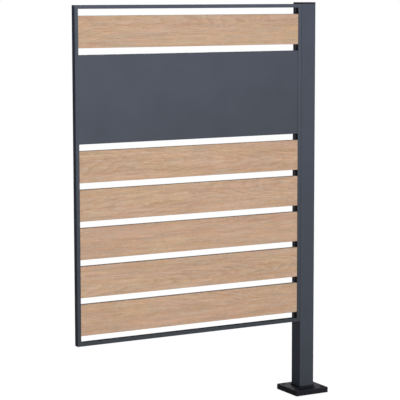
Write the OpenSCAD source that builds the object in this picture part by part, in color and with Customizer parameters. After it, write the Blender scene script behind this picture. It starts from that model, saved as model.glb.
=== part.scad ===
// Free-standing bin screen: one slatted panel in a thin channel frame,
// carried on the left face of a single square post with a bolt-down foot.
//
// Frame: X runs along the panel and away from it, Y runs to the back, Z is up.
// The origin is on the ground, at the centre of the foot's underside.
// The panel lies on the -X side of the post and faces -Y.

/* [Post] */
// Outer width of the square post tube
post_w = 60; // [50:1:90]
// Wall of the post tube
post_wall = 2; // [1.5:0.5:4]
// Radius of the post tube's outer edges
post_edge_r = 2.5; // [1:0.5:5]
// Radius of the edges inside the post tube
post_inside_r = 1; // [0.5:0.5:3]

/* [Panel frame] */
// Overall width of the framed panel
frame_w = 909; // [500:1:1500]
// Height of the frame's underside above the ground
ground_gap = 273; // [130:1:500]
// Height of a channel from the back of its web to the edge of its lips
lip = 13; // [12:0.5:25]
// Wall of the channel
frame_wall = 1.5; // [1:0.25:3]
// Distance from the post's front face back to the frame's front face
frame_setback = 2.6; // [0:0.1:10]

/* [Boards] */
// Height of one wooden slat
slat_h = 110; // [60:1:180]
// Thickness of the slats and of the wide panel
board_t = 19.5; // [14:0.5:30]
// Height of the wide metal panel
panel_h = 305; // [150:1:600]
// Wall of the wide panel, which is a hollow extrusion
panel_wall = 1.6; // [1:0.1:3]
// Number of cells inside the wide panel
panel_cells = 6; // [2:1:10]
// Open height between two boards, and between a board and the frame
board_gap = 23; // [14:1:60]
// Radius along the long edges of the boards
board_edge_r = 2; // [0.5:0.5:5]
// Number of slats above the wide panel
slats_above = 1; // [1:1:3]
// Number of slats below the wide panel
slats_below = 5; // [1:1:7]
// Play between a board's face and the lip beside it
board_clear = 0.25; // [0.1:0.05:1]
// Play between a board's end and the web of the channel
board_end_gap = 2; // [0.5:0.5:3]
// Play over the top slat, which lets the boards be stacked in the frame
stack_play = 0.5; // [0.1:0.1:2]

/* [Spacers and corner cleats] */
// Thickness of a spacer, measured out from the web of the channel
spacer_t = 5; // [4:0.5:8]
// Play between a spacer or cleat and the lips beside it
spacer_clear = 0.3; // [0.1:0.1:1]
// Thickness of the two legs of a corner cleat
cleat_t = 6; // [5:0.5:9]

/* [Foot] */
// Width of the square foot cover
cover_w = 140; // [136:1:200]
// Height of the foot cover without its collar
cover_h = 20; // [18:1:40]
// Wall of the foot cover
cover_wall = 2.5; // [2:0.5:4]
// Radius of the foot cover's upright edges
cover_edge_r = 4; // [2:0.5:8]
// Width of the bevel along the foot cover's top edges
cover_bevel = 2; // [0.5:0.5:2.5]
// Height of the collar round the post, above the foot cover
collar_h = 6.5; // [2:0.5:20]
// Wall of the collar
collar_wall = 2.5; // [1.5:0.5:5]
// Play between the foot plate and the cover's walls
plate_clear = 1; // [0.5:0.5:3]
// Thickness of the steel foot plate
plate_t = 10; // [6:1:12]
// Distance between the centres of neighbouring ground bolts
bolt_spacing = 104; // [98:1:106]
// Bore for a ground bolt
bolt_hole_d = 11; // [8:0.5:13]
// Inner width of the well that takes a ground bolt's head
bolt_well_d = 18; // [16:0.5:20]
// Wall of the bolt well
bolt_well_wall = 2; // [1.5:0.5:3]
// Height of the spigot's top above the foot's collar
spigot_h = 73.5; // [58:0.5:144]
// Wall of the spigot
spigot_wall = 3; // [2:0.5:6]
// Play between the post and what it slides over or is plugged with
post_fit_clear = 0.3; // [0.1:0.1:0.8]

/* [Post cap] */
// Thickness of the cap's top
cap_t = 6; // [3:0.5:12]
// Width of the bevel along the cap's top edges
cap_bevel = 0.8; // [0.2:0.2:2]
// Depth of the cap's skirt inside the post
skirt_h = 20; // [10:1:40]
// Wall of the cap's skirt
skirt_wall = 2; // [1.5:0.5:4]

/* [Screws] */
// Thread diameter of the screws in the post and the foot
screw_d = 4.8; // [4:0.1:6]
// Length of the screws that hold the frame to the post
screw_l = 16; // [13:1:25]
// Length of the screws that hold the post on its spigot
foot_screw_l = 13; // [9:1:20]
// Head diameter of these screws
screw_head_d = 9.5; // [8:0.1:11]
// Head height of these screws
screw_head_h = 3.2; // [2:0.1:4]
// Height of the lower screw in the spigot above the foot's collar
foot_screw_low = 18.5; // [8:0.5:30]
// Height of the upper screw in the spigot above the foot's collar
foot_screw_high = 48.5; // [40:0.5:54]
// Thread diameter of the screws in the corner cleats
corner_screw_d = 2.9; // [2.2:0.1:3.5]
// Length of the screws in the corner cleats
corner_screw_l = 9.5; // [6:0.5:13]
// Head diameter of the screws in the corner cleats
corner_head_d = 5.6; // [4:0.1:6]
// Head height of the screws in the corner cleats
corner_head_h = 2.1; // [1.5:0.1:3]
// Play all round a screw in its hole
screw_clear = 0.1; // [0.05:0.05:0.4]

/* [Hidden] */
$fn = 48;
// Overshoot of a cut past the face that it opens
cut = 1;
// Width of a screw's socket and of its head's crown, as shares of the head's diameter
socket_share = 0.42;
crown_share = 0.6;
// Diameter of the very tip of a screw
tip_d = 0.6;
// Smallest radius kept inside the foot cover's upright edges
least_r = 0.5;

// Colours
anthracite = [0.29, 0.31, 0.35];
oak = [0.77, 0.64, 0.52];
black = [0.09, 0.09, 0.1];
steel = [0.62, 0.63, 0.65];
blackened_steel = [0.23, 0.23, 0.24];

// Boards, from the top down: some slats, the wide panel, the other slats
slat_count = slats_above + slats_below;
board_count = slat_count + 1;
panel_at = slats_above + 1;
board_heights = [for (i = [1:board_count]) i == panel_at ? panel_h : slat_h];
spacer_count = board_count - 1;

// Frame: its inside takes a board with play on both faces
channel_in = board_t + 2 * board_clear;
frame_d = channel_in + 2 * frame_wall;
frame_h = 2 * lip + sum(board_heights) + (board_count + 1) * board_gap;
frame_left = -post_w / 2 - frame_w;
frame_right = -post_w / 2;
frame_front = -post_w / 2 + frame_setback;
frame_bottom = ground_gap;
frame_top = frame_bottom + frame_h;
frame_mid_y = frame_front + frame_d / 2;

// Boards lie in the middle of the channel and stop short of both webs
board_l = frame_w - 2 * (frame_wall + board_end_gap);
board_left = frame_left + frame_wall + board_end_gap;
board_front = frame_front + frame_wall + board_clear;

// Cleats reach from the frame's corner to the nearest board
cleat_leg = lip + board_gap - frame_wall;
cleat_d = channel_in - 2 * spacer_clear;
corner_screw_at = lip + board_gap / 2;
corner_screw_up = frame_wall + cleat_t / 2;

// Foot
plate_w = cover_w - 2 * (cover_wall + plate_clear);
post_in = post_w - 2 * post_wall;
plug_w = post_in - 2 * post_fit_clear;
collar_in = post_w + 2 * post_fit_clear;
collar_w = collar_in + 2 * collar_wall;
collar_top = cover_h + collar_h;
spigot_top = collar_top + spigot_h;
foot_screw_heights = [collar_top + foot_screw_low, collar_top + foot_screw_high];
post_bottom = plate_t;
post_h = frame_top - post_bottom;

// Sum of the first n numbers of a list, or of the whole list
function sum(list, n = undef) =
    let (count = is_undef(n) ? len(list) : n)
    count == 0 ? 0 : list[count - 1] + sum(list, count - 1);

// Height of the underside of board i, counted from 1 at the top
function board_bottom(i) = frame_top - lip - i * board_gap - sum(board_heights, i);

// Board number of slat i, which skips the wide panel
function slat_board(i) = i < panel_at ? i : i + 1;

// Spacers that a frame-to-post screw goes through: the first, then every second one
function is_screwed(i) = i == 1 || i % 2 == 0;

// Height of the middle of spacer i, counted from 1 under the top slat
function spacer_mid(i) = board_bottom(i) - board_gap / 2;

// A rectangle with true round corners, centred on the origin
module rounded_rectangle(w, h, r) {
    square([w - 2 * r, h], center = true);
    square([w, h - 2 * r], center = true);
    for (x = [-1, 1], y = [-1, 1])
        translate([x * (w / 2 - r), y * (h / 2 - r)])
            circle(r);
}

// An upright square tube with its underside at zero
module square_tube(w, wall, r, inside_r, height) {
    linear_extrude(height)
        difference() {
            rounded_rectangle(w, w, r);
            rounded_rectangle(w - 2 * wall, w - 2 * wall, inside_r);
        }
}

// Four cuts that bevel the top edges of a square block of width w and height h
module top_bevels(w, h, bevel) {
    for (a = [0:90:270])
        rotate(a)
            translate([w / 2, 0, h])
                rotate([90, 0, 0])
                    linear_extrude(w + 2 * cut, center = true)
                        polygon([[-bevel - cut, cut], [cut, cut], [cut, -bevel - cut]]);
}

// A pan-head screw: the head stands on z = 0 and the thread points down
module screw(d, length, head_d, head_h) {
    point_l = d;
    difference() {
        union() {
            cylinder(d = head_d, h = head_h / 2);
            translate([0, 0, head_h / 2])
                cylinder(d1 = head_d, d2 = head_d * crown_share, h = head_h / 2);
        }
        translate([0, 0, head_h / 2])
            cylinder(d = head_d * socket_share, h = head_h, $fn = 6);
    }
    translate([0, 0, point_l - length])
        cylinder(d = d, h = length - point_l);
    translate([0, 0, -length])
        cylinder(d1 = tip_d, d2 = d, h = point_l);
}

// Puts its children at each ground bolt
module at_ground_bolts() {
    for (x = [-1, 1], y = [-1, 1])
        translate([x * bolt_spacing / 2, y * bolt_spacing / 2, 0])
            children();
}

// Puts its children at each screw that holds the frame to the post, thread towards +X
module at_post_screws() {
    for (i = [1:spacer_count])
        if (is_screwed(i))
            translate([frame_right - frame_wall - spacer_t, frame_mid_y, spacer_mid(i)])
                rotate([0, -90, 0])
                    children();
}

// Puts its children at each screw through the post into the spigot, on the back and right faces
module at_foot_screws() {
    for (z = foot_screw_heights, a = [0, 90])
        rotate(a)
            translate([post_w / 2, 0, z])
                rotate([0, 90, 0])
                    children();
}

// Puts its children at one corner of the frame, with +X and +Z pointing into the frame
module at_corner(right, top) {
    translate([right ? frame_right : frame_left, frame_front, top ? frame_top : frame_bottom])
        mirror([right ? 1 : 0, 0, 0])
            mirror([0, 0, top ? 1 : 0])
                children();
}

// Puts its children at the two screws of one corner cleat, heads on the frame's back face
module at_corner_screws() {
    for (p = [[corner_screw_at, corner_screw_up], [corner_screw_up, corner_screw_at]])
        translate([p[0], frame_d, p[1]])
            rotate([-90, 0, 0])
                children();
}

// A hole for a screw, from just above its head's seat to the given depth
module screw_hole(d, depth) {
    translate([0, 0, -depth])
        cylinder(d = d + 2 * screw_clear, h = depth + cut);
}

// A channel lying on its web along +X, open upwards, with both ends mitred
module mitred_channel(length) {
    difference() {
        translate([0, frame_d, 0])
            rotate([90, 0, 0])
                linear_extrude(frame_d)
                    polygon([[0, 0], [length, 0], [length - lip, lip], [lip, lip]]);
        translate([-cut, frame_wall, frame_wall])
            cube([length + 2 * cut, channel_in, lip]);
        for (x = [corner_screw_at, length - corner_screw_at])
            translate([x, frame_d, corner_screw_up])
                rotate([-90, 0, 0])
                    screw_hole(corner_screw_d, frame_wall + cut);
    }
}

// The extruded outline of a board along +X, with its front lower edge at the origin
module board_prism(height) {
    translate([board_left, board_front + board_t / 2, height / 2])
        rotate([90, 0, 90])
            linear_extrude(board_l)
                rounded_rectangle(board_t, height, board_edge_r);
}

module post() {
    color(anthracite)
        difference() {
            translate([0, 0, post_bottom])
                square_tube(post_w, post_wall, post_edge_r, post_inside_r, post_h);
            at_post_screws()
                screw_hole(screw_d, spacer_t + frame_wall + post_wall + cut);
            at_foot_screws()
                screw_hole(screw_d, post_wall + cut);
        }
}

module post_cap() {
    color(black)
        translate([0, 0, frame_top]) {
            difference() {
                linear_extrude(cap_t)
                    rounded_rectangle(post_w, post_w, post_edge_r);
                top_bevels(post_w, cap_t, cap_bevel);
            }
            translate([0, 0, -skirt_h])
                square_tube(plug_w, skirt_wall, post_inside_r + post_fit_clear, post_inside_r, skirt_h);
        }
}

module foot_plate() {
    color(steel)
        difference() {
            linear_extrude(plate_t)
                rounded_rectangle(plate_w, plate_w, cover_edge_r);
            at_ground_bolts()
                translate([0, 0, -cut])
                    cylinder(d = bolt_hole_d, h = plate_t + 2 * cut);
        }
}

module foot_spigot() {
    color(steel)
        difference() {
            translate([0, 0, post_bottom])
                square_tube(plug_w, spigot_wall, post_inside_r + post_fit_clear, post_inside_r,
                            spigot_top - post_bottom);
            at_foot_screws()
                screw_hole(screw_d, post_wall + post_fit_clear + spigot_wall + cut);
        }
}

module foot_cover() {
    inner_w = cover_w - 2 * cover_wall;
    inner_h = cover_h - cover_wall;
    well_h = inner_h - plate_t + cover_wall / 2;
    color(black)
        difference() {
            union() {
                difference() {
                    linear_extrude(cover_h)
                        rounded_rectangle(cover_w, cover_w, cover_edge_r);
                    top_bevels(cover_w, cover_h, cover_bevel);
                    translate([0, 0, -cut])
                        linear_extrude(inner_h + cut)
                            rounded_rectangle(inner_w, inner_w, max(cover_edge_r - cover_wall, least_r));
                }
                translate([0, 0, cover_h - cover_wall])
                    linear_extrude(cover_wall + collar_h)
                        rounded_rectangle(collar_w, collar_w, post_edge_r + collar_wall);
                at_ground_bolts()
                    translate([0, 0, plate_t])
                        cylinder(d = bolt_well_d + 2 * bolt_well_wall, h = well_h);
            }
            linear_extrude(collar_top + cut)
                rounded_rectangle(collar_in, collar_in, post_edge_r + post_fit_clear);
            at_ground_bolts()
                cylinder(d = bolt_well_d, h = cover_h + cut);
        }
}

module foot_screws() {
    color(blackened_steel)
        at_foot_screws()
            screw(screw_d, foot_screw_l, screw_head_d, screw_head_h);
}

module stile_left() {
    color(anthracite)
        translate([frame_left, frame_front, frame_top])
            rotate([0, 90, 0])
                mitred_channel(frame_h);
}

module stile_right() {
    color(anthracite)
        difference() {
            translate([frame_right, frame_front, frame_bottom])
                rotate([0, -90, 0])
                    mitred_channel(frame_h);
            at_post_screws()
                screw_hole(screw_d, spacer_t + frame_wall + cut);
        }
}

module rail_bottom() {
    color(anthracite)
        translate([frame_left, frame_front, frame_bottom])
            mitred_channel(frame_w);
}

module rail_top() {
    color(anthracite)
        translate([frame_left, frame_front, frame_top])
            mirror([0, 0, 1])
                mitred_channel(frame_w);
}

// One corner cleat: an angle whose legs lie on both webs and end at the nearest board
module corner_cleat(right, top) {
    upright_leg = cleat_leg - (top ? stack_play : 0);
    color(black)
        at_corner(right, top)
            difference() {
                translate([frame_wall, (frame_d - cleat_d) / 2, frame_wall]) {
                    cube([cleat_leg, cleat_d, cleat_t]);
                    cube([cleat_t, cleat_d, upright_leg]);
                }
                at_corner_screws()
                    screw_hole(corner_screw_d, corner_screw_l + cut);
            }
}

module corner_screws() {
    color(blackened_steel)
        for (right = [false, true], top = [false, true])
            at_corner(right, top)
                at_corner_screws()
                    screw(corner_screw_d, corner_screw_l, corner_head_d, corner_head_h);
}

module slat(i) {
    color(oak)
        translate([0, 0, board_bottom(slat_board(i))])
            board_prism(slat_h);
}

module wide_panel() {
    cell_pitch = (panel_h - panel_wall) / panel_cells;
    color(anthracite)
        translate([0, 0, board_bottom(panel_at)])
            difference() {
                board_prism(panel_h);
                for (i = [0:panel_cells - 1])
                    translate([board_left - cut, board_front + panel_wall, panel_wall + i * cell_pitch])
                        cube([board_l + 2 * cut, board_t - 2 * panel_wall, cell_pitch - panel_wall]);
            }
}

// Spacer i of one stile, which fills the channel between two boards
module spacer(i, right) {
    web_x = right ? frame_right - frame_wall - spacer_t : frame_left + frame_wall;
    color(black)
        difference() {
            translate([web_x, frame_mid_y - cleat_d / 2, spacer_mid(i) - board_gap / 2])
                cube([spacer_t, cleat_d, board_gap]);
            if (right)
                at_post_screws()
                    screw_hole(screw_d, spacer_t + cut);
        }
}

module post_screws() {
    color(blackened_steel)
        at_post_screws()
            screw(screw_d, screw_l, screw_head_d, screw_head_h);
}

post();
post_cap();
foot_plate();
foot_spigot();
foot_cover();
foot_screws();
stile_left();
stile_right();
rail_top();
rail_bottom();
corner_cleat(false, true);  // cleat_top_left
corner_cleat(true, true);  // cleat_top_right
corner_cleat(false, false);  // cleat_bottom_left
corner_cleat(true, false);  // cleat_bottom_right
corner_screws();
wide_panel();
for (i = [1:slat_count])
    slat(i);
for (i = [1:spacer_count])
    spacer(i, false);
for (i = [1:spacer_count])
    spacer(i, true);
post_screws();
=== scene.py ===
"""Looks of a free-standing bin screen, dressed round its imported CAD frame.

X runs along the panel towards the post, Y to the back and Z up, in metres. The origin is on the
ground at the centre of the foot's underside. The panel lies on the -X side of the post and faces -Y.
"""
import logging
import math
from collections.abc import Callable
from dataclasses import dataclass, replace
from enum import Enum
from functools import partial
from typing import ClassVar

import bmesh
import bpy
from mathutils import Matrix, Quaternion, Vector


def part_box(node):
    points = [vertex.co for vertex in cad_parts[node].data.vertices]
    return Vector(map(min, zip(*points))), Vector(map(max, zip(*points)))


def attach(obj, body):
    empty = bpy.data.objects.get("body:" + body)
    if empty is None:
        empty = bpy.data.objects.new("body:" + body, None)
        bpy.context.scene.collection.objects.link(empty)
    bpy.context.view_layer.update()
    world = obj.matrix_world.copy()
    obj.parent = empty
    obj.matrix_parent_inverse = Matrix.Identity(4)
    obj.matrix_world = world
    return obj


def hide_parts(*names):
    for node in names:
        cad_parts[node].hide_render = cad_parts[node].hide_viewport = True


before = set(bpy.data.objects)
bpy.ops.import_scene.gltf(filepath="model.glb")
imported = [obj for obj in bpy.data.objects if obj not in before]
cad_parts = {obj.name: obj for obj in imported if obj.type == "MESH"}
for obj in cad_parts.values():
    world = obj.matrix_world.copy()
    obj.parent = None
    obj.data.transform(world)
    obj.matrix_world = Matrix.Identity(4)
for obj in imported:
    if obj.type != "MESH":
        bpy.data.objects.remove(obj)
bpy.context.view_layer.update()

log = logging.getLogger("bin_screen")

Colour = tuple[float, float, float]
Point = tuple[float, float, float]
Stops = tuple[tuple[float, float], ...]
Socket = bpy.types.NodeSocket
Feed = Socket | float | tuple[float, ...]
Radius = Callable[[float], float]

MM = 0.001
WHITE: Colour = (1.0, 1.0, 1.0)
TO_THE_LEFT: Point = (-1.0, 0.0, 0.0)
TO_THE_RIGHT: Point = (1.0, 0.0, 0.0)
TO_THE_BACK: Point = (0.0, 1.0, 0.0)


class Axis(Enum):
    """Direction that a profile was extruded along."""

    X = 0
    Z = 2


class Skin(Enum):
    """How a surface feels: (size of its grains in metres, depth of its relief in metres)."""

    SMOOTH = (0.9 * MM, 0.008 * MM)
    FINE = (0.55 * MM, 0.04 * MM)
    MOULDED = (0.8 * MM, 0.05 * MM)


def even(value: float) -> Point:
    """Same value along X, Y and Z."""
    return value, value, value


def scaled(values: Point, share: float, lift: float = 0.0) -> Point:
    """Three values times a share, each raised by the same lift."""
    return tuple(value * share + lift for value in values)


def bearing(azimuth: float, elevation: float) -> Vector:
    """Work out a direction seen from the screen.

    Args:
        azimuth: Degrees from straight before the panel (-Y) towards the post (+X).
        elevation: Degrees over the horizon.

    Returns:
        The direction, with a length of 1.
    """
    turn, climb = math.radians(azimuth), math.radians(elevation)
    return Vector((math.sin(turn) * math.cos(climb), -math.cos(turn) * math.cos(climb), math.sin(climb)))


def add_object(name: str, data: bpy.types.ID) -> bpy.types.Object:
    """Put a mesh, lamp or camera into the scene.

    Args:
        name: Name of the new object.
        data: Its mesh, lamp or camera.

    Returns:
        The new object.
    """
    made = bpy.data.objects.new(name, data)
    bpy.context.scene.collection.objects.link(made)
    return made


def add_mesh(name: str, mesh: bmesh.types.BMesh, finish: bpy.types.Material) -> bpy.types.Object:
    """Put a finished mesh into the scene.

    Args:
        name: Name of the new object.
        mesh: The mesh, which is used up.
        finish: Material of the whole mesh.

    Returns:
        The new object.
    """
    data = bpy.data.meshes.new(name)
    mesh.to_mesh(data)
    mesh.free()
    data.materials.append(finish)
    return add_object(name, data)


class Graph:
    """Node tree of one material, filled by short calls that return output sockets.

    Attributes:
        material: The material.
        tree: Its node tree.
        output: Its output node.
        place: Place on the object in metres.
    """

    # Rounded edges by the longest part of their normal, and tops by its Z
    EDGE_STOPS: Stops = ((0.78, 1.0), (0.97, 0.0))
    TOP_STOPS: Stops = ((0.6, 0.0), (0.9, 1.0))

    def __init__(self, name: str) -> None:
        """Make a material with an empty tree and an output.

        Args:
            name: Name of the material.
        """
        self.material = bpy.data.materials.new(name)
        self.material.use_nodes = True
        self.tree = self.material.node_tree
        self.tree.nodes.clear()
        self.output = self.tree.nodes.new("ShaderNodeOutputMaterial")
        self.place = self.tree.nodes.new("ShaderNodeTexCoord").outputs["Object"]

    def node(self, kind: str, feeds: dict[str | int, Feed], **settings: object) -> bpy.types.Node:
        """Add a node.

        Args:
            kind: Type name of the node.
            feeds: Socket or constant for each input, by the input's name or number.
            settings: Properties of the node.

        Returns:
            The new node.
        """
        made = self.tree.nodes.new(kind)
        for key, value in settings.items():
            setattr(made, key, value)
        for key, value in feeds.items():
            if isinstance(value, Socket):
                self.tree.links.new(value, made.inputs[key])
            else:
                made.inputs[key].default_value = value
        return made

    def math(self, operation: str, a: Feed, b: Feed = 0.0) -> Socket:
        """Combine two numbers with one of the Math node's operations."""
        return self.node("ShaderNodeMath", {0: a, 1: b}, operation=operation).outputs[0]

    def add(self, a: Feed, b: Feed) -> Socket:
        """Add two numbers."""
        return self.math("ADD", a, b)

    def times(self, a: Feed, b: Feed) -> Socket:
        """Multiply two numbers."""
        return self.math("MULTIPLY", a, b)

    def blend(self, parts: list[tuple[Socket, float]]) -> Socket:
        """Add numbers, each with its own weight.

        Args:
            parts: Pairs of number and weight.

        Returns:
            The weighted sum.
        """
        level = self.times(*parts[0])
        for part, weight in parts[1:]:
            level = self.add(level, self.times(part, weight))
        return level

    def vector(self, operation: str, *feeds: Feed) -> Socket:
        """Combine vectors with one of the Vector Math node's operations."""
        return self.node("ShaderNodeVectorMath", dict(enumerate(feeds)), operation=operation).outputs[0]

    def axes(self, vector: Feed) -> list[Socket]:
        """Split a vector into its X, Y and Z."""
        return list(self.node("ShaderNodeSeparateXYZ", {0: vector}).outputs)

    def stretch(self, per_metre: Point, start: Point = (0.0, 0.0, 0.0)) -> Socket:
        """Scale the place on the object, so that a texture's features take a real size.

        Args:
            per_metre: Features per metre along X, Y and Z.
            start: What is added after the scale.

        Returns:
            The scaled place.
        """
        feeds = {"Vector": self.place, "Location": start, "Scale": per_metre}
        return self.node("ShaderNodeMapping", feeds).outputs[0]

    def ramp(self, level: Socket, stops: Stops) -> Socket:
        """Map a number through grey stops.

        Args:
            level: Number from 0 to 1.
            stops: Pairs of place and grey value, in rising order.

        Returns:
            The mapped number.
        """
        made = self.node("ShaderNodeValToRGB", {0: level})
        bar = made.color_ramp
        while len(bar.elements) < len(stops):
            bar.elements.new(0.5)
        for element, (place, grey) in zip(bar.elements, stops):
            element.position = place
            element.color = (*even(grey), 1.0)
        return made.outputs[0]

    def mix(self, share: Feed, a: Socket | Colour, b: Socket | Colour, blend: str = "MIX") -> Socket:
        """Mix two colours.

        Args:
            share: Share of the second colour.
            a: First colour.
            b: Second colour.
            blend: Blend mode of the Mix node.

        Returns:
            The mixed colour.
        """
        def full(colour: Socket | Colour) -> Feed:
            """Add an alpha of 1 to a constant colour."""
            return colour if isinstance(colour, Socket) else (*colour, 1.0)

        # Inputs 6 and 7 and output 2 are the Mix node's colours
        made = self.node("ShaderNodeMix", {0: share, 6: full(a), 7: full(b)}, data_type="RGBA",
                         blend_type=blend, clamp_factor=True)
        return made.outputs[2]

    def tint(self, tone: Socket, by: Socket | Colour) -> Socket:
        """Multiply a colour by another."""
        return self.mix(1.0, tone, by, blend="MULTIPLY")

    def bump(self, height: Socket, depth: float, under: Socket | None = None) -> Socket:
        """Turn a height into a bent normal.

        Args:
            height: Height from 0 to 1.
            depth: Height of 1 in metres.
            under: Normal that this relief lies on.

        Returns:
            The bent normal.
        """
        feeds: dict[str | int, Feed] = {"Height": height, "Strength": 1.0, "Distance": depth}
        if under is not None:
            feeds["Normal"] = under
        return self.node("ShaderNodeBump", feeds).outputs[0]

    def outward(self) -> list[Socket]:
        """Direction that the surface faces, along X, Y and Z."""
        return self.axes(self.node("ShaderNodeNewGeometry", {}).outputs["Normal"])

    def rounded(self) -> Socket:
        """Tell flat walls from their rounded edges.

        Returns:
            0 where the surface faces along an axis, up to 1 where it turns from all three.
        """
        x, y, z = [self.math("ABSOLUTE", part) for part in self.outward()]
        most = self.math("MAXIMUM", self.math("MAXIMUM", x, y), z)
        return self.ramp(most, self.EDGE_STOPS)

    def upward(self) -> Socket:
        """Tell how far a surface faces up, from 0 on its walls to 1 on its top."""
        return self.ramp(self.outward()[2], self.TOP_STOPS)

    def finish(self, **feeds: Feed) -> bpy.types.Material:
        """Close the tree with one Principled shader.

        Args:
            feeds: Inputs of the shader, with underscores for the spaces in their names.

        Returns:
            The finished material.
        """
        named = {key.replace("_", " "): value for key, value in feeds.items()}
        shader = self.node("ShaderNodeBsdfPrincipled", named)
        self.tree.links.new(shader.outputs[0], self.output.inputs["Surface"])
        return self.material


@dataclass(frozen=True)
class Grain:
    """Smooth noise with features of a real size.

    Attributes:
        per_metre: Features per metre along X, Y and Z.
        detail: Number of finer layers laid over the first.
        roughness: Strength that each finer layer keeps of the one before.
        distortion: How far the noise is stirred.
        stops: Pairs of place and grey value that its number is mapped through, or none.
    """

    per_metre: Point
    detail: float = 2.0
    roughness: float = 0.5
    distortion: float = 0.0
    stops: Stops = ()

    def node(self, g: Graph, start: Point = (0.0, 0.0, 0.0)) -> bpy.types.Node:
        """Add the noise to a material.

        Args:
            g: Graph of the material.
            start: Where in the noise this piece begins.

        Returns:
            The noise's node.
        """
        feeds = {"Vector": g.stretch(self.per_metre, start), "Scale": 1.0, "Detail": self.detail,
                 "Roughness": self.roughness, "Distortion": self.distortion}
        return g.node("ShaderNodeTexNoise", feeds)

    def sample(self, g: Graph, start: Point = (0.0, 0.0, 0.0)) -> Socket:
        """Sample the noise as a number from 0 to 1, mapped through its stops."""
        number = self.node(g, start).outputs["Fac"]
        return g.ramp(number, self.stops) if self.stops else number

    def swirl(self, g: Graph) -> Socket:
        """Sample the noise as a vector."""
        return self.node(g).outputs["Color"]


def frame_box() -> tuple[Vector, Vector]:
    """Lowest and highest corners of the whole channel frame, from its two stiles."""
    return Vector(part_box("stile_left")[0]), Vector(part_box("stile_right")[1])


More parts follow.
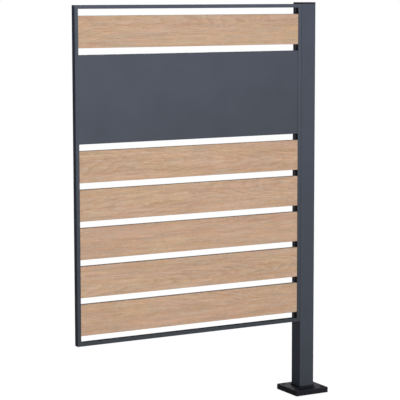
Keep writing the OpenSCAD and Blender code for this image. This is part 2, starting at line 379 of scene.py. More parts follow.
@dataclass(frozen=True)
class PowderCoat:
    """Baked powder coat on an aluminium extrusion.

    Attributes:
        name: Name of the material.
        colour: Colour of the coat.
        skin: Texture of the coat.
        along: Direction of the extrusion, which faint die lines follow.
        roughness: Roughness of the coat.
        die_lines: Share by which the die lines shade the coat.
        painted_light_up: Share of painted light that makes the top of the screen paler and bluer than its
            foot, standing in for the lamps' falloff and sheen.
        painted_light_left: The same painted light, from the post to the free side.
        wear_and_highlight: Share by which the rounded edges turn pale, partly from rub marks and partly as a
            painted highlight.
        painted_channel_shade: Share of painted shade that darkens the insides of the channels.
    """

    name: str
    colour: Colour
    skin: Skin
    along: Axis
    roughness: float = 0.68
    die_lines: float = 0.05
    painted_light_up: float = 0.26
    painted_light_left: float = 0.0
    wear_and_highlight: float = 0.12
    painted_channel_shade: float = 0.0

    # Colour of the pale rounded edges, partly painted highlight, and the painted shade and painted sheen tint
    # that multiply the coat
    PALE_EDGE_AND_HIGHLIGHT: ClassVar[Colour] = (0.15, 0.158, 0.175)
    CHANNEL_SHADE_TINT: ClassVar[Colour] = (0.32, 0.31, 0.3)
    PAINTED_SHEEN_TINT: ClassVar[Colour] = (0.96, 1.0, 1.22)

    # X and Z of the screen's middle, and the width and height over which the painted light runs its course
    MIDDLE: ClassVar[tuple[float, float]] = (-0.45, 0.72)
    REACH: ClassVar[tuple[float, float]] = (0.95, 1.45)

    # Depth behind the frame's outer faces from which a face counts as the inside of a channel
    INSIDE: ClassVar[float] = 1.4 * MM

    # How far the tone strays from the coat's colour, its wide clouds, and the share that strays in each grain
    SPREAD: ClassVar[float] = 0.12
    CLOUDS: ClassVar[Grain] = Grain(even(9.0), 3.0, 0.55, stops=((0.3, 0.2), (0.7, 0.8)))
    IN_GRAINS: ClassVar[float] = 0.35

    # Patches in which the rounded edges turn pale, partly from rub marks and partly as painted highlight,
    # less outside than inside
    PALE_EDGE_PATCHES: ClassVar[Grain] = Grain(even(55.0), 4.0, 0.7, stops=((0.4, 0.35), (0.65, 1.0)))

    # Die lines as they lie across the extrusion, their number per metre along it, and their depth
    LINES: ClassVar[Grain] = Grain(even(420.0), 2.0, 0.7)
    LINES_ALONG: ClassVar[float] = 1.5
    LINE_DEPTH: ClassVar[float] = 0.004 * MM

    # How much the grains change the roughness, and the specular level of the coat
    ROUGH_SPAN: ClassVar[float] = 0.16
    SHINE: ClassVar[float] = 0.03

    def painted_light_falloff(self, g: Graph) -> Socket:
        """Painted light and sheen, white at the middle of the screen, paler and bluer up and left.

        Args:
            g: Graph of this coat's material.

        Returns:
            What the coat's colour is multiplied by.
        """
        x, _, z = g.axes(g.place)
        up = g.math("DIVIDE", g.math("SUBTRACT", z, self.MIDDLE[1]), self.REACH[1])
        left = g.math("DIVIDE", g.math("SUBTRACT", self.MIDDLE[0], x), self.REACH[0])
        both = g.blend([(up, self.painted_light_up), (left, self.painted_light_left)])
        return g.vector("MULTIPLY_ADD", both, self.PAINTED_SHEEN_TINT, WHITE)

    def sheltered(self, g: Graph) -> Socket:
        """Tell the insides of the frame's channels from its outer faces.

        Args:
            g: Graph of this coat's material.

        Returns:
            1 where a face lies deep enough inside the frame's box, else 0.
        """
        low, high = frame_box()
        middle, half = (low + high) / 2, (high - low) / 2
        away = g.vector("ABSOLUTE", g.vector("ADD", g.place, tuple(-middle)))
        x, y, z = g.axes(g.vector("SUBTRACT", tuple(half), away))
        return g.math("GREATER_THAN", g.math("MINIMUM", g.math("MINIMUM", x, y), z), self.INSIDE)

    def scoring(self, g: Graph) -> Socket:
        """Noise drawn out along the extrusion, as its die scored it.

        Args:
            g: Graph of this coat's material.

        Returns:
            The noise.
        """
        per_metre = list(self.LINES.per_metre)
        per_metre[self.along.value] = self.LINES_ALONG
        return replace(self.LINES, per_metre=tuple(per_metre)).sample(g)

    def material(self) -> bpy.types.Material:
        """Build the material of this coat.

        Returns:
            The material.
        """
        g = Graph(self.name)
        size, depth = self.skin.value
        grains = Grain(even(1.0 / size), detail=2.0, roughness=0.6).sample(g)
        lines = self.scoring(g)
        dark, light = scaled(self.colour, 1.0 - self.SPREAD), scaled(self.colour, 1.0 + self.SPREAD)
        tone = g.mix(self.CLOUDS.sample(g), dark, light)
        tone = g.mix(self.IN_GRAINS, tone, g.mix(grains, dark, light))
        shade = g.add(g.times(lines, 2.0 * self.die_lines), 1.0 - self.die_lines)
        # Painted light: paler and bluer towards the top and the left
        tone = g.tint(g.tint(tone, shade), self.painted_light_falloff(g))
        # Pale rounded edges: rub marks and a painted highlight
        edge_wear_and_highlight = g.times(g.times(g.rounded(), self.PALE_EDGE_PATCHES.sample(g)), self.wear_and_highlight)
        tone = g.mix(edge_wear_and_highlight, tone, self.PALE_EDGE_AND_HIGHLIGHT)
        # Painted shade inside the channels
        if self.painted_channel_shade > 0.0:
            tone = g.mix(g.times(self.sheltered(g), self.painted_channel_shade), tone, g.tint(tone, self.CHANNEL_SHADE_TINT))
        rough = g.add(g.times(grains, self.ROUGH_SPAN), self.roughness - self.ROUGH_SPAN / 2)
        normal = g.bump(lines, self.LINE_DEPTH, g.bump(grains, depth))
        return g.finish(Base_Color=tone, Roughness=rough, Specular_IOR_Level=self.SHINE, Normal=normal)


@dataclass(frozen=True)
class OiledOak:
    """Light oiled oak of one slat, sawn from its own part of the log.

    Attributes:
        name: Name of the material.
        middle: Height of the slat's middle.
        pith: Where the log's heart is level with the post: its height over the slat's middle, and its Y.
        drift: Metres that the heart climbs and recedes per metre along the slat.
        start: Where in the wood's noise this slat begins.
        rosy: Share of the pinkish tint, from 0 to 1.
    """

    name: str
    middle: float
    pith: tuple[float, float]
    drift: tuple[float, float]
    start: float
    rosy: float

    LIGHT: ClassVar[Colour] = (0.653, 0.466, 0.323)
    DARK: ClassVar[Colour] = (0.437, 0.275, 0.165)
    PORE: ClassVar[Colour] = (0.25, 0.155, 0.095)
    RAY: ClassVar[Colour] = (0.8, 0.62, 0.46)
    SHADED_TOP_GREY: ClassVar[Colour] = (0.13, 0.12, 0.105)
    ROSY: ClassVar[Colour] = (1.0, 0.965, 0.965)

    # Where the rings and the grain begin in their noise, as shares of the slat's own start
    RING_START: ClassVar[Point] = (1.0, 0.37, -1.0)
    GRAIN_START: ClassVar[Point] = (1.0, -1.0, 0.5)

    # Distance between two year rings, how far the heart sways up and back, and the ripple in rings
    RING: ClassVar[float] = 3.0 * MM
    SWAY: ClassVar[Grain] = Grain((1.9, 7.0, 7.0))
    SWAY_UP: ClassVar[float] = 0.05
    SWAY_BACK: ClassVar[float] = 0.03
    RIPPLE: ClassVar[Grain] = Grain((11.0, 40.0, 40.0))
    RIPPLE_RINGS: ClassVar[float] = 1.6

    # Lightness and pores over one year ring, from its early wood to its late wood
    LATE_STOPS: ClassVar[Stops] = ((0.0, 0.1), (0.25, 0.55), (0.7, 0.8), (0.92, 1.0), (1.0, 0.1))
    EARLY_STOPS: ClassVar[Stops] = ((0.0, 1.0), (0.3, 0.75), (0.55, 0.2), (1.0, 0.12))

    # What the figure is made of, the weights of late wood, fibres, threads, streaks and specks in it, and
    # where it turns from dark to light
    FIBRES: ClassVar[Grain] = Grain((26.0, 560.0, 560.0), 3.0, 0.65)
    THREADS: ClassVar[Grain] = Grain((15.0, 170.0, 170.0), 3.0, 0.65)
    STREAKS: ClassVar[Grain] = Grain((3.0, 70.0, 70.0), 5.0, 0.74)
    SPECKS: ClassVar[Grain] = Grain((85.0, 170.0, 170.0), 2.0, 0.6)
    WEIGHTS: ClassVar[tuple[float, ...]] = (0.08, 0.11, 0.23, 0.42, 0.16)
    FIGURE_STOPS: ClassVar[Stops] = ((0.37, 0.0), (0.63, 1.0))

    # Changes of hue: features per metre, where they start in the noise, and the tints at both ends
    HUE: ClassVar[Grain] = Grain(even(1.0), 3.0, 0.6, stops=((0.34, 0.0), (0.66, 1.0)))
    HUES: ClassVar[tuple[tuple[Point, float, Colour, Colour], ...]] = (
        ((12.0, 90.0, 90.0), 31.0, (0.94, 1.0, 1.05), (1.06, 1.0, 0.95)),
        ((9.0, 60.0, 60.0), 77.0, (1.0, 1.02, 0.99), (1.0, 0.98, 1.01)),
        ((2.2, 14.0, 14.0), 57.0, (1.0, 1.015, 0.975), (1.0, 0.98, 1.015)))

    # Open pores and the flecks where the saw cut a ray, with the share of each one's colour
    PORES: ClassVar[Grain] = Grain((130.0, 2600.0, 2600.0), 1.0, stops=((0.3, 1.0), (0.42, 0.0)))
    PORE_SHARE: ClassVar[float] = 0.6
    FLECKS: ClassVar[Grain] = Grain((28.0, 240.0, 120.0), 1.0, stops=((0.64, 0.0), (0.74, 1.0)))
    FLECK_SHARE: ClassVar[float] = 0.16

    # Share of painted shade that turns the top edge a dark grey, between and on its threads
    SHADED_TOP_STOPS: ClassVar[Stops] = ((0.3, 0.5), (0.7, 0.7))

    # Roughness and what the fibres add to it, specular level, depth of the relief and the fibres' share
    ROUGH: ClassVar[float] = 0.78
    ROUGH_SPAN: ClassVar[float] = 0.14
    SHINE: ClassVar[float] = 0.04
    RELIEF: ClassVar[float] = 0.09 * MM
    FIBRE_RELIEF: ClassVar[float] = 0.35

    def rings(self, g: Graph) -> Socket:
        """Distance from the wandering heart of the log, in year rings.

        Args:
            g: Graph of this slat's material.

        Returns:
            Number of rings out from the heart.
        """
        start = scaled(self.RING_START, self.start)
        sway = self.SWAY.sample(g, start)
        ripple = g.times(self.RIPPLE.sample(g, start), self.RIPPLE_RINGS)
        x, y, z = g.axes(g.place)
        squares = []
        for at, rest, climb, sway_by in ((z, self.middle + self.pith[0], self.drift[0], self.SWAY_UP),
                                         (y, self.pith[1], self.drift[1], self.SWAY_BACK)):
            heart = g.add(g.times(sway, sway_by), g.add(g.times(x, climb), rest))
            squares.append(g.math("POWER", g.math("ABSOLUTE", g.math("SUBTRACT", at, heart)), 2.0))
        out = g.math("SQRT", g.add(*squares))
        return g.add(g.math("DIVIDE", out, self.RING), ripple)

    def hued(self, g: Graph, tone: Socket) -> Socket:
        """Vary the wood's hue in patches, and turn it rosy.

        Args:
            g: Graph of this slat's material.
            tone: Colour of the wood so far.

        Returns:
            The varied colour.
        """
        for per_metre, place, cool, warm in self.HUES:
            hue = replace(self.HUE, per_metre=per_metre).sample(g, (place, self.start, 0.0))
            tone = g.tint(tone, g.mix(hue, cool, warm))
        return g.mix(self.rosy, tone, g.tint(tone, self.ROSY))

    def material(self) -> bpy.types.Material:
        """Build the material of this slat.

        Returns:
            The material.
        """
        g = Graph(self.name)
        start = scaled(self.GRAIN_START, self.start)
        ring = g.math("FRACT", self.rings(g))
        late = g.ramp(ring, self.LATE_STOPS)
        fibres, threads, streaks, specks = [
            grain.sample(g, start) for grain in (self.FIBRES, self.THREADS, self.STREAKS, self.SPECKS)]
        figure = g.blend(list(zip((late, fibres, threads, streaks, specks), self.WEIGHTS)))
        tone = self.hued(g, g.mix(g.ramp(figure, self.FIGURE_STOPS), self.DARK, self.LIGHT))
        pitted = g.times(self.PORES.sample(g, start), g.ramp(ring, self.EARLY_STOPS))
        tone = g.mix(g.times(pitted, self.PORE_SHARE), tone, self.PORE)
        tone = g.mix(g.times(self.FLECKS.sample(g, start), self.FLECK_SHARE), tone, self.RAY)
        # Painted shade: the slat's top face turned a dark grey
        tone = g.mix(g.times(g.upward(), g.ramp(threads, self.SHADED_TOP_STOPS)), tone, self.SHADED_TOP_GREY)
        rough = g.add(g.times(fibres, self.ROUGH_SPAN), self.ROUGH)
        height = g.math("SUBTRACT", g.times(fibres, self.FIBRE_RELIEF), pitted)
        return g.finish(Base_Color=tone, Roughness=rough, Specular_IOR_Level=self.SHINE,
                        Normal=g.bump(height, self.RELIEF))


@dataclass(frozen=True)
class MouldedPlastic:
    """Black moulded plastic with a spark-eroded texture.

    Attributes:
        name: Name of the material.
        colour: Colour of the plastic.
        roughness: Roughness of the surface.
        shine: Specular level of the surface.
        wear_and_highlight: Share by which its chamfers turn pale, as a painted highlight and partly as rub
            marks.
    """

    name: str
    colour: Colour
    roughness: float
    shine: float
    wear_and_highlight: float = 0.0

    # Flow marks and scuffs: their grain, their colour as the plastic's times a share plus a lift, and how
    # much of it shows
    FLOW: ClassVar[Grain] = Grain(even(24.0), 3.0, distortion=0.8)
    FLOW_PALE: ClassVar[tuple[float, float]] = (1.9, 0.004)
    FLOW_SHARE: ClassVar[float] = 0.5
    SCUFFS: ClassVar[Grain] = Grain((60.0, 60.0, 260.0), 4.0, 0.7, stops=((0.6, 0.0), (0.78, 1.0)))
    SCUFF_PALE: ClassVar[tuple[float, float]] = (3.0, 0.01)
    SCUFF_SHARE: ClassVar[float] = 0.25

    # Chamfers by the Z of their normal, how far they turn pale outside and inside the scuffs, and to what: a
    # painted highlight, partly rub marks
    CHAMFER_STOPS: ClassVar[Stops] = ((0.3, 0.0), (0.6, 1.0), (0.8, 1.0), (0.96, 0.0))
    PALE_CHAMFER_STOPS: ClassVar[Stops] = ((0.0, 0.55), (1.0, 1.0))
    PALE_EDGE_AND_HIGHLIGHT: ClassVar[Colour] = (0.16, 0.16, 0.17)

    # How much the pits change the roughness
    ROUGH_SPAN: ClassVar[float] = 0.2

    def material(self) -> bpy.types.Material:
        """Build the material of this plastic.

        Returns:
            The material.
        """
        g = Graph(self.name)
        size, depth = Skin.MOULDED.value
        pits = Grain(even(1.0 / size), detail=3.0, roughness=0.6).sample(g)
        flow = g.times(self.FLOW.sample(g), self.FLOW_SHARE)
        tone = g.mix(flow, self.colour, scaled(self.colour, *self.FLOW_PALE))
        scuffs = self.SCUFFS.sample(g)
        tone = g.mix(g.times(scuffs, self.SCUFF_SHARE), tone, scaled(self.colour, *self.SCUFF_PALE))
        # Pale chamfers: a painted highlight, partly rub marks
        chamfer = g.ramp(g.math("ABSOLUTE", g.outward()[2]), self.CHAMFER_STOPS)
        pale_chamfer = g.times(chamfer, g.ramp(scuffs, self.PALE_CHAMFER_STOPS))
        tone = g.mix(g.times(pale_chamfer, self.wear_and_highlight), tone, self.PALE_EDGE_AND_HIGHLIGHT)
        rough = g.add(g.times(pits, self.ROUGH_SPAN), self.roughness - self.ROUGH_SPAN / 2)
        return g.finish(Base_Color=tone, Roughness=rough, Specular_IOR_Level=self.shine,
                        Normal=g.bump(pits, depth))


@dataclass(frozen=True)
class ZincCoat:
    """Hot-dip galvanised steel with its spangle.

    Attributes:
        name: Name of the material.
        spangle: Size of one crystal of the zinc.
        dark: Colour of the darkest crystals.
        light: Colour of the lightest crystals.
    """

    name: str = "galvanised_foot_steel"
    spangle: float = 9.0 * MM
    dark: Colour = (0.33, 0.345, 0.36)
    light: Colour = (0.52, 0.53, 0.54)

    # What bends the crystals' outlines, and the frost on them with its depth
    WAVES: ClassVar[Grain] = Grain(even(240.0))
    FROST: ClassVar[Grain] = Grain(even(900.0), 3.0)
    FROST_DEPTH: ClassVar[float] = 0.01 * MM

    # Least roughness, and what the crystals and the frost each add to it
    ROUGH: ClassVar[float] = 0.22
    ROUGH_SPAN: ClassVar[float] = 0.2

    def material(self) -> bpy.types.Material:
        """Build the material of the zinc coat.

        Returns:
            The material.
        """
        g = Graph(self.name)
        bent = g.vector("ADD", g.stretch(even(1.0 / self.spangle)), self.WAVES.swirl(g))
        crystals = g.node("ShaderNodeTexVoronoi", {"Vector": bent, "Scale": 1.0}).outputs["Color"]
        level = g.node("ShaderNodeSeparateColor", {0: crystals}).outputs[0]
        frost = self.FROST.sample(g)
        dull = g.add(g.times(frost, self.ROUGH_SPAN), self.ROUGH)
        return g.finish(Base_Color=g.mix(level, self.dark, self.light), Metallic=1.0,
                        Roughness=g.add(g.times(level, self.ROUGH_SPAN), dull),
                        Normal=g.bump(frost, self.FROST_DEPTH))


@dataclass(frozen=True)
class BlackZinc:
    """Black-passivated zinc on a screw, dull, with fine marks from heading and rolling.

    Attributes:
        name: Name of the material.
        dark: Colour where the film is thick.
        light: Colour where the film is thin.
    """

    name: str = "black_zinc_screw"
    dark: Colour = (0.03, 0.03, 0.032)
    light: Colour = (0.06, 0.06, 0.063)

    HAZE: ClassVar[Grain] = Grain(even(300.0))
    MARKS: ClassVar[Grain] = Grain((2600.0, 2600.0, 700.0), 3.0, 0.6)
    MARK_DEPTH: ClassVar[float] = 0.004 * MM

    # Least roughness, what the marks add to it, and the specular level
    ROUGH: ClassVar[float] = 0.38
    ROUGH_SPAN: ClassVar[float] = 0.25
    SHINE: ClassVar[float] = 0.12

    def material(self) -> bpy.types.Material:
        """Build the material of the screws.

        Returns:
            The material.
        """
        g = Graph(self.name)
        marks = self.MARKS.sample(g)
        rough = g.add(g.times(marks, self.ROUGH_SPAN), self.ROUGH)
        return g.finish(Base_Color=g.mix(self.HAZE.sample(g), self.dark, self.light), Roughness=rough,
                        Specular_IOR_Level=self.SHINE, Normal=g.bump(marks, self.MARK_DEPTH))


@dataclass(frozen=True)
class EdgeRound:
    """Small round on the sharp edges of a CAD mesh.

    Attributes:
        radius: Radius of the round.
        segments: Flats that make up the round.
        sharp: Least angle in degrees of an edge that gets a round.
        flat: Widest angle in degrees within one face.
        weld: Distance within which points are one.
    """

    radius: float
    segments: int = 3
    sharp: float = 35.0
    flat: float = 1.0
    weld: float = 0.01 * MM

    def add_to(self, piece: bpy.types.Object) -> None:
        """Round the edges of a piece with modifiers, which leave its own mesh as it is.

        Args:
            piece: Object of the piece.
        """
        weld = piece.modifiers.new("weld", "WELD")
        weld.merge_threshold = self.weld
        flat = piece.modifiers.new("one_face_per_plane", "DECIMATE")
        flat.decimate_type = "DISSOLVE"
        flat.angle_limit = math.radians(self.flat)
        soft = piece.modifiers.new("soft_edges", "BEVEL")
        soft.width = self.radius
        soft.segments = self.segments
        soft.limit_method = "ANGLE"
        soft.angle_limit = math.radians(self.sharp)
        shading = piece.modifiers.new("even_shading", "WEIGHTED_NORMAL")
        shading.keep_sharp = False


def dress(node: str, finish: bpy.types.Material, edge: EdgeRound | None = None) -> bpy.types.Object:
    """Give a CAD node its finish and, where asked, small rounds on its sharp edges.

    Args:
        node: Name of the CAD node.
        finish: Material of the whole node.
        edge: The rounds, or None to leave the edges sharp.

    Returns:
        The node's object.
    """
    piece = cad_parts[node]
    for place in piece.material_slots:
        place.material = finish
    if edge is not None:
        edge.add_to(piece)
    return piece


@dataclass(frozen=True)
class PanScrew:
    """Pan-head screw with a six-lobe recess and a rolled thread.

    The head's underside lies at z = 0, the head points up and the thread down.

    Attributes:
        thread_d: Diameter over the thread.
        length: Length under the head.
        head_d: Diameter of the head.
        head_h: Height of the head.
        pitch: Distance between two turns of the thread.
    """

    thread_d: float
    length: float
    head_d: float
    head_h: float
    pitch: float

    # Points round the screw, rings per turn of its thread, least number of those and rings up its dome
    STEPS: ClassVar[int] = 36
    RINGS_PER_TURN: ClassVar[int] = 5
    LEAST_RINGS: ClassVar[int] = 8
    DOME_RINGS: ClassVar[int] = 5

    # Radius of the thread's root as a share of its crest's, and what the taper leaves of both at the tip
    ROOT: ClassVar[float] = 0.72
    BLUNT: ClassVar[float] = 0.06

    # Shares of the head's radius: its underside, what the dome draws in by, and the edge of its flat top
    UNDERSIDE: ClassVar[float] = 0.97
    DOME_IN: ClassVar[float] = 0.32
    FLAT: ClassVar[float] = 0.56

    # Shares of the head's height: foot and top of its side, what the dome rises by, and its flat top
    SIDE: ClassVar[tuple[float, float]] = (0.08, 0.45)
    DOME_UP: ClassVar[float] = 0.47
    TOP: ClassVar[float] = 0.985

    # Lobes of the recess, their middle and swing as shares of the head's radius, the size of each ring down
    # the recess with its height as a share of the head's, and the depth of the dimple in the recess's floor
    LOBES: ClassVar[int] = 6
    LOBE_MIDDLE: ClassVar[float] = 0.4
    LOBE_SWING: ClassVar[float] = 0.055
    RECESS: ClassVar[tuple[tuple[float, float], ...]] = ((1.0, 0.985), (0.96, 0.93), (0.94, 0.35))
    DIMPLE: ClassVar[float] = 0.3 * MM

    # Degrees from which an edge of the screw is shaded as a sharp one
    CRISP: ClassVar[float] = 50.0

    def head_profile(self) -> list[tuple[float, float]]:
        """List the rings over the head, from its underside to the edge of its flat top.

        Returns:
            Radius and height of each ring.
        """
        r, h = self.head_d / 2, self.head_h
        foot, top = self.SIDE
        rings = [(r * self.UNDERSIDE, 0.0), (r, h * foot), (r, h * top)]
        for i in range(1, self.DOME_RINGS + 1):
            a = math.pi / 2 * i / self.DOME_RINGS
            rings.append((r - r * self.DOME_IN * (1 - math.cos(a)), h * top + h * self.DOME_UP * math.sin(a)))
        rings.append((r * self.FLAT, h * self.TOP))
        return rings

    @staticmethod
    def plain(radius: float, angle: float) -> float:
        """Radius of a plain ring, the same at every angle."""
        return radius

    def lobe(self, size: float, angle: float) -> float:
        """Radius of the recess at an angle, for a ring of a given size."""
        return self.head_d / 2 * size * (self.LOBE_MIDDLE + self.LOBE_SWING * math.cos(self.LOBES * angle))

    def thread(self, z: float, angle: float) -> float:
        """Work out the thread's radius, which swells under the head and tapers to the tip.

        Args:
            z: Height over the head's underside, below zero.
            angle: Angle round the screw.

        Returns:
            The radius there.
        """
        crest = self.thread_d / 2
        root = crest * self.ROOT
        turn = (z / self.pitch + angle / math.tau) % 1.0
        flank = abs(2.0 * turn - 1.0)
        tip = min(1.0, (self.length + z) / self.thread_d + self.BLUNT)
        grow = min(1.0, max(0.0, -z / self.pitch))
        return (root + (crest - root) * flank * grow) * tip

    def rings(self) -> list[tuple[Radius, float]]:
        """List the rings of the screw, from its tip over its head to the floor of its recess.

        Returns:
            Each ring's radius by the angle, and its height.
        """
        count = max(self.LEAST_RINGS, round(self.length / self.pitch * self.RINGS_PER_TURN))
        heights = [-self.length * (1 - k / count) for k in range(count + 1)]
        rings = [(partial(self.thread, z), z) for z in heights]
        rings += [(partial(self.plain, r), z) for r, z in self.head_profile()]
        rings += [(partial(self.lobe, size), self.head_h * share) for size, share in self.RECESS]
        return rings

    def add_to(self, mesh: bmesh.types.BMesh, place: Matrix) -> None:
        """Add one watertight screw to a mesh.

        Args:
            mesh: Mesh that takes the screw.
            place: Where the screw goes.
        """
        def point(r: float, a: float, z: float) -> bmesh.types.BMVert:
            """Add a point by its radius, angle and height."""
            return mesh.verts.new(place @ Vector((r * math.cos(a), r * math.sin(a), z)))

        angles = [math.tau * i / self.STEPS for i in range(self.STEPS)]
        pairs = [(i, (i + 1) % self.STEPS) for i in range(self.STEPS)]
        rings = [[point(radius(a), a, z) for a in angles] for radius, z in self.rings()]
        for low, high in zip(rings, rings[1:]):
            for i, j in pairs:
                mesh.faces.new((low[i], low[j], high[j], high[i]))
        first, last = rings[0], rings[-1]
        tip = point(0.0, 0.0, -self.length)
        for i, j in pairs:
            mesh.faces.new((first[j], first[i], tip))
        dimple = point(0.0, 0.0, self.head_h * self.RECESS[-1][1] - self.DIMPLE)
        for i, j in pairs:
            mesh.faces.new((last[i], last[j], dimple))

    def set_of(self, name: str, node: str, places: list[Matrix],
               finish: bpy.types.Material) -> bpy.types.Object:
        """Build a set of screws that stands for a CAD node.

        Args:
            name: Name of the piece.
            node: CAD node that it replaces.
            places: Where each screw goes.
            finish: Material of the screws.

        Returns:
            The new piece.
        """
        mesh = bmesh.new()
        for place in places:
            self.add_to(mesh, place)
        bmesh.ops.recalc_face_normals(mesh, faces=mesh.faces)
        piece = add_mesh(name, mesh, finish)
        for face in piece.data.polygons:
            face.use_smooth = True
        split = piece.modifiers.new("crisp_recess", "EDGE_SPLIT")
        split.split_angle = math.radians(self.CRISP)
        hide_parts(node)
        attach(piece, "root")
        return piece


def facing(spot: Point, outward: Point) -> Matrix:
    """Place something at a spot with its own +Z turned outward."""
    turn = Vector(outward).to_track_quat("Z", "Y").to_matrix().to_4x4()
    return Matrix.Translation(Vector(spot)) @ turn


@dataclass
class PostAssembly:
    """The square post and its plugged cap.

    Attributes:
        coat: Finish of the post.
        plastic: Finish of the cap.
        cap_edge: Rounds of the cap.
    """

    coat: PowderCoat = PowderCoat(
        "anthracite_post_coat", (0.069, 0.077, 0.0945), Skin.FINE, Axis.Z, painted_light_up=0.36)
    plastic: MouldedPlastic = MouldedPlastic(
        "black_cap_plastic", (0.02, 0.02, 0.022), roughness=0.6, shine=0.02, wear_and_highlight=0.2)
    cap_edge: EdgeRound = EdgeRound(0.35 * MM)

    def build(self) -> list[bpy.types.Object]:
        """Dress the post and its cap.

        Returns:
            The pieces of the post.
        """
        return [
            dress("post", self.coat.material()),
            dress("post_cap", self.plastic.material(), self.cap_edge),
        ]


@dataclass
class FootAssembly:
    """The bolt-down foot: its steel plate and spigot, its cover and the screws into the spigot.

    Attributes:
        plastic: Finish of the cover.
        cover_edge: Rounds of the cover.
        plate_edge: Rounds of the plate.
        screw: Screw through the post into the spigot.
    """

    plastic: MouldedPlastic = MouldedPlastic(
        "black_foot_plastic", (0.0155, 0.0155, 0.0185), roughness=0.6, shine=0.014, wear_and_highlight=0.14)
    cover_edge: EdgeRound = EdgeRound(0.6 * MM)
    plate_edge: EdgeRound = EdgeRound(0.5 * MM)
    screw: PanScrew = PanScrew(
        thread_d=4.8 * MM, length=13.0 * MM, head_d=9.5 * MM, head_h=3.2 * MM, pitch=1.6 * MM)

    def screw_places(self) -> list[Matrix]:
        """Place the screws into the spigot, two on the post's right face and two on its back.

        Returns:
            Where each screw goes.
        """
        low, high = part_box("foot_screws")
        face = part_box("post")[1]
        half_head = self.screw.head_d / 2
        places = []
        for z in (low.z + half_head, high.z - half_head):
            places.append(facing((face.x, 0.0, z), TO_THE_RIGHT))
            places.append(facing((0.0, face.y, z), TO_THE_BACK))
        return places

    def build(self, zinc: bpy.types.Material, steel: bpy.types.Material) -> list[bpy.types.Object]:
        """Dress the foot and build its screws.

        Args:
            zinc: Finish of the plate and the spigot.
            steel: Finish of the screws.

        Returns:
            The pieces of the foot.
        """
        return [
            dress("foot_plate", zinc, self.plate_edge),
            dress("foot_spigot", zinc),
            dress("foot_cover", self.plastic.material(), self.cover_edge),
            self.screw.set_of("spigot_screws", "foot_screws", self.screw_places(), steel),
        ]


@dataclass
class ChannelFrame:
    """The mitred channel frame with its corner cleats and their screws.

    Attributes:
        rails: Finish of the two rails.
        stiles: Finish of the two stiles.
        edge: Rounds of the channels.
        cleat_edge: Rounds of the cleats.
        screw: Screw through the back lip into a cleat.
    """

    rails: PowderCoat = PowderCoat(
        "anthracite_rail_coat", (0.068, 0.077, 0.0905), Skin.FINE, Axis.X, painted_light_up=0.62, wear_and_highlight=0.35, painted_channel_shade=0.6)
    stiles: PowderCoat = replace(rails, name="anthracite_stile_coat", along=Axis.Z)
    edge: EdgeRound = EdgeRound(0.35 * MM)
    cleat_edge: EdgeRound = EdgeRound(0.3 * MM)
    screw: PanScrew = PanScrew(
        thread_d=2.9 * MM, length=9.5 * MM, head_d=5.6 * MM, head_h=2.1 * MM, pitch=1.1 * MM)

    def screw_places(self) -> list[Matrix]:
        """Place the two screws of each corner, heads on the frame's back face.

        One stands over the middle of a cleat's leg, the other halfway to the nearest board.

        Returns:
            Where each screw goes.
        """
        low, high = frame_box()
        on_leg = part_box("corner_screws")[0].z + self.screw.head_d / 2 - low.z
        in_gap = (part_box("rail_bottom")[1].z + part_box("slat_6")[0].z) / 2 - low.z
        places = []
        for x, inward in ((low.x, 1.0), (high.x, -1.0)):
            for z, upward in ((low.z, 1.0), (high.z, -1.0)):
                for along, up in ((in_gap, on_leg), (on_leg, in_gap)):
                    spot = (x + inward * along, high.y, z + upward * up)
                    places.append(facing(spot, TO_THE_BACK))
        return places

    def build(self, inner: bpy.types.Material, steel: bpy.types.Material) -> list[bpy.types.Object]:
        """Dress the frame and build its screws.

        Args:
            inner: Finish of the cleats.
            steel: Finish of the screws.

        Returns:
            The pieces of the frame.
        """
        level, upright = self.rails.material(), self.stiles.material()
        pieces = [dress(node, level, self.edge) for node in ("rail_top", "rail_bottom")]
        pieces += [dress(node, upright, self.edge) for node in ("stile_left", "stile_right")]
        for high in ("top", "bottom"):
            for side in ("left", "right"):
                pieces.append(dress(f"cleat_{high}_{side}", inner, self.cleat_edge))
        pieces.append(self.screw.set_of("cleat_screws", "corner_screws", self.screw_places(), steel))
        return pieces


@dataclass
class Boards:
    """The six oak slats and the wide metal panel between the first two.

    Attributes:
        piths: Where the heart of each slat's log lies, from the top slat down.
        drifts: How that heart climbs and recedes along each slat.
        rosiness: Share of the pinkish tint of each slat.
        first_start: Where in the wood's noise the first slat begins.
        next_start: How far on in it each next slat begins.
        panel: Finish of the wide panel.
    """

    piths: tuple[tuple[float, float], ...] = (
        (0.03, 0.07), (-0.05, 0.11), (0.012, 0.055), (0.07, 0.09), (-0.02, 0.06), (0.04, 0.12))
    drifts: tuple[tuple[float, float], ...] = (
        (0.03, 0.02), (-0.04, 0.03), (0.05, -0.03), (-0.02, 0.05), (0.035, 0.04), (-0.05, -0.02))
    rosiness: tuple[float, ...] = (0.0, 0.45, 0.35, 0.7, 0.35, 0.8)
    first_start: float = 3.7
    next_start: float = 5.3
    panel: PowderCoat = PowderCoat(
        "anthracite_panel_coat", (0.0675, 0.0742, 0.0875), Skin.SMOOTH, Axis.X, roughness=0.6, die_lines=0.02,
        painted_light_up=0.62, painted_light_left=0.12)

    def build(self) -> list[bpy.types.Object]:
        """Dress the boards, each slat with its own wood.

        Returns:
            The boards.
        """
        pieces = [dress("wide_panel", self.panel.material())]
        for i, (pith, drift, rosy) in enumerate(zip(self.piths, self.drifts, self.rosiness)):
            low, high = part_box(f"slat_{i + 1}")
            start = self.first_start + self.next_start * i
            wood = OiledOak(f"oiled_oak_{i + 1}", (low.z + high.z) / 2, pith, drift, start, rosy)
            pieces.append(dress(f"slat_{i + 1}", wood.material()))
        return pieces


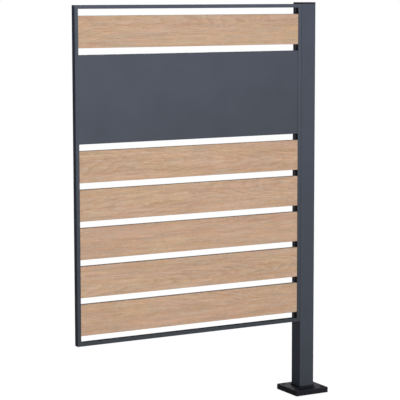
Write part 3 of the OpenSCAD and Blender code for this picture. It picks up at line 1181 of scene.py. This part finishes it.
@dataclass
class Spacers:
    """The spacers between the boards' ends and the screws through them into the post.

    Attributes:
        count: Spacers in each stile.
        screwed: Numbers of the right-hand spacers that take a screw.
        edge: Rounds of the spacers.
        screw: Screw through the stile into the post.
    """

    count: int = 6
    screwed: tuple[int, ...] = (1, 2, 4, 6)
    edge: EdgeRound = EdgeRound(0.3 * MM)
    screw: PanScrew = PanScrew(
        thread_d=4.8 * MM, length=16.0 * MM, head_d=9.5 * MM, head_h=3.2 * MM, pitch=1.6 * MM)

    def screw_places(self) -> list[Matrix]:
        """Place the screws in the middle of their spacers' inner faces.

        Returns:
            Where each screw goes.
        """
        places = []
        for i in self.screwed:
            low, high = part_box(f"spacer_right_{i}")
            places.append(facing((low.x, (low.y + high.y) / 2, (low.z + high.z) / 2), TO_THE_LEFT))
        return places

    def build(self, inner: bpy.types.Material, steel: bpy.types.Material) -> list[bpy.types.Object]:
        """Dress the spacers and build the screws into the post.

        Args:
            inner: Finish of the spacers.
            steel: Finish of the screws.

        Returns:
            The spacers and the screws.
        """
        pieces = [dress(f"spacer_{side}_{i + 1}", inner, self.edge)
                  for side in ("left", "right") for i in range(self.count)]
        pieces.append(self.screw.set_of("frame_screws", "post_screws", self.screw_places(), steel))
        return pieces


@dataclass(frozen=True)
class Softbox:
    """Square soft lamp.

    Attributes:
        name: Name of the lamp.
        azimuth: Degrees from straight before the panel (-Y) towards the post (+X).
        elevation: Degrees over the aim.
        distance: Metres from the aim.
        size: Side of the lamp in metres.
        level: Share of full white that it gives a white surface before it, square to Y.
    """

    name: str
    azimuth: float
    elevation: float
    distance: float
    size: float
    level: float

    def hang(self, aim: Point) -> bpy.types.Object:
        """Hang the lamp, turned to a point.

        Args:
            aim: The point that it lights.

        Returns:
            The lamp's object.
        """
        out = bearing(self.azimuth, self.elevation)
        lamp = bpy.data.lights.new(self.name, "AREA")
        lamp.shape = "SQUARE"
        lamp.size = self.size
        lamp.energy = self.level * (math.pi * self.distance) ** 2 / abs(out.y)
        piece = add_object(self.name, lamp)
        where = Matrix.Translation(Vector(aim) + out * self.distance)
        piece.matrix_world = where @ (-out).to_track_quat("-Z", "Y").to_matrix().to_4x4()
        piece.visible_camera = False
        return piece


@dataclass
class Studio:
    """Plain pale floor, white surroundings, a soft key before the panel and a softer fill behind it.

    Attributes:
        floor_radius: Radius of the round floor.
        floor_sides: Sides that make up its circle.
        floor_drop: How far it lies under the foot.
        floor_grey: Grey of the floor for the light that it sends up.
        paper_grey: Grey of the floor that the eye sees near the foot, where it takes the shadow.
        paper_glow: White that the eye sees there besides.
        shadow_reach: Distances from the foot between which what the eye sees turns to plain white.
        aim: Point that the lamps light.
        key: Lamp before the panel.
        fill: Lamp behind the panel.
        sky: Colour of the dim light from all round.
        ambient: Level of that light.
    """

    floor_radius: float = 40.0
    floor_sides: int = 96
    floor_drop: float = 0.2 * MM
    floor_grey: float = 0.6
    paper_grey: float = 0.2
    paper_glow: float = 0.93
    shadow_reach: tuple[float, float] = (1.2, 3.0)
    aim: Point = (-0.45, 0.0, 0.85)
    key: Softbox = Softbox("key_softbox", azimuth=-4.0, elevation=9.0, distance=4.8, size=1.8, level=0.8)
    fill: Softbox = Softbox("back_softbox", azimuth=158.0, elevation=6.0, distance=7.0, size=2.4, level=0.62)
    sky: Colour = (0.92, 0.98, 1.4)
    ambient: float = 0.12

    @staticmethod
    def shown(tree: bpy.types.NodeTree) -> Socket:
        """Tell in a node tree whether a ray comes from the camera or through gloss or glass.

        Args:
            tree: Node tree of a material or a world.

        Returns:
            1 if it does, else 0.
        """
        path = tree.nodes.new("ShaderNodeLightPath").outputs
        found = path["Is Camera Ray"]
        for other in ("Is Glossy Ray", "Is Transmission Ray"):
            either = tree.nodes.new("ShaderNodeMath")
            either.operation = "MAXIMUM"
            tree.links.new(found, either.inputs[0])
            tree.links.new(path[other], either.inputs[1])
            found = either.outputs[0]
        return found

    def floor_paper(self) -> bpy.types.Material:
        """Build the floor's finish: pale for the light it sends up, white to the eye round its shadow.

        Returns:
            The material.
        """
        g = Graph("pale_studio_floor")
        pale, paper = [g.node("ShaderNodeBsdfDiffuse", {"Color": (*even(grey), 1.0)}).outputs[0]
                       for grey in (self.floor_grey, self.paper_grey)]
        glow, white = [g.node("ShaderNodeEmission", {"Color": (*WHITE, 1.0), "Strength": level}).outputs[0]
                       for level in (self.paper_glow, 1.0)]
        away = g.node("ShaderNodeVectorMath", {0: g.place}, operation="LENGTH").outputs["Value"]
        near, far = self.shadow_reach
        share = g.node("ShaderNodeMapRange", {"Value": away, "From Min": near, "From Max": far},
                       interpolation_type="SMOOTHSTEP").outputs[0]
        lit = g.node("ShaderNodeAddShader", {0: paper, 1: glow}).outputs[0]
        seen = g.node("ShaderNodeMixShader", {0: share, 1: lit, 2: white}).outputs[0]
        both = g.node("ShaderNodeMixShader", {0: self.shown(g.tree), 1: pale, 2: seen}).outputs[0]
        g.tree.links.new(both, g.output.inputs["Surface"])
        return g.material

    def floor(self) -> bpy.types.Object:
        """Lay the round floor.

        Returns:
            The floor's object.
        """
        mesh = bmesh.new()
        bmesh.ops.create_circle(mesh, cap_ends=True, radius=self.floor_radius, segments=self.floor_sides)
        piece = add_mesh("studio_floor", mesh, self.floor_paper())
        piece.location.z = -self.floor_drop
        return piece

    def surroundings(self) -> None:
        """Set a dim world that the camera, gloss and glass see as white."""
        world = bpy.data.worlds.new("white_studio")
        world.use_nodes = True
        tree = world.node_tree
        tree.nodes.clear()
        both = tree.nodes.new("ShaderNodeMixShader")
        tree.links.new(self.shown(tree), both.inputs[0])
        for side, (colour, strength) in enumerate(((self.sky, self.ambient), (WHITE, 1.0)), start=1):
            light = tree.nodes.new("ShaderNodeBackground")
            light.inputs["Color"].default_value = (*colour, 1.0)
            light.inputs["Strength"].default_value = strength
            tree.links.new(light.outputs[0], both.inputs[side])
        out = tree.nodes.new("ShaderNodeOutputWorld")
        tree.links.new(both.outputs[0], out.inputs["Surface"])
        bpy.context.scene.world = world

    def build(self) -> None:
        """Set the stage and light it."""
        self.surroundings()
        self.floor()
        for lamp in (self.key, self.fill):
            lamp.hang(self.aim)


@dataclass
class PhotoCamera:
    """Camera at the photograph's viewing angle.

    Attributes:
        at: Where the camera stands.
        azimuth: Degrees to the right of +Y that it looks.
        pitch: Degrees below the horizon that it looks.
        roll: Degrees that it leans.
        lens: Focal length in millimetres.
        sensor: Width of its sensor in millimetres.
        rise: Vertical shift as a share of the picture's width.
        reach: Nearest and farthest distance that it sees.
    """

    at: Point = (-3.2635, -5.0588, 1.484)
    azimuth: float = 29.17
    pitch: float = 6.51
    roll: float = -0.1
    lens: float = 146.61
    sensor: float = 36.0
    rise: float = -0.05
    reach: tuple[float, float] = (0.05, 100.0)

    def build(self) -> bpy.types.Object:
        """Set up the camera.

        Returns:
            The camera's object.
        """
        data = bpy.data.cameras.new("photo_camera")
        data.sensor_width = self.sensor
        data.lens = self.lens
        data.shift_y = self.rise
        data.clip_start, data.clip_end = self.reach
        ahead = -bearing(-self.azimuth, self.pitch)
        lean = Quaternion((0.0, 0.0, 1.0), math.radians(self.roll))
        piece = add_object("photo_camera", data)
        piece.rotation_mode = "QUATERNION"
        piece.rotation_quaternion = ahead.to_track_quat("-Z", "Y") @ lean
        piece.location = self.at
        bpy.context.scene.camera = piece
        return piece


def main() -> None:
    """Build the sub-assemblies in order, then the studio and the camera."""
    logging.basicConfig(level=logging.INFO, format="%(name)s: %(message)s")
    zinc, steel = ZincCoat().material(), BlackZinc().material()
    inner = MouldedPlastic("black_inner_plastic", (0.034, 0.034, 0.036), roughness=0.5, shine=0.06).material()
    groups = {
        "post": PostAssembly().build(),
        "foot": FootAssembly().build(zinc, steel),
        "frame": ChannelFrame().build(inner, steel),
        "boards": Boards().build(),
        "spacers": Spacers().build(inner, steel),
    }
    for name, pieces in groups.items():
        for piece in pieces:
            log.info("%s: %s, %d vertices", name, piece.name, len(piece.data.vertices))
    Studio().build()
    PhotoCamera().build()
    bpy.context.scene.view_settings.view_transform = "Standard"


if __name__ == "__main__":
    main()
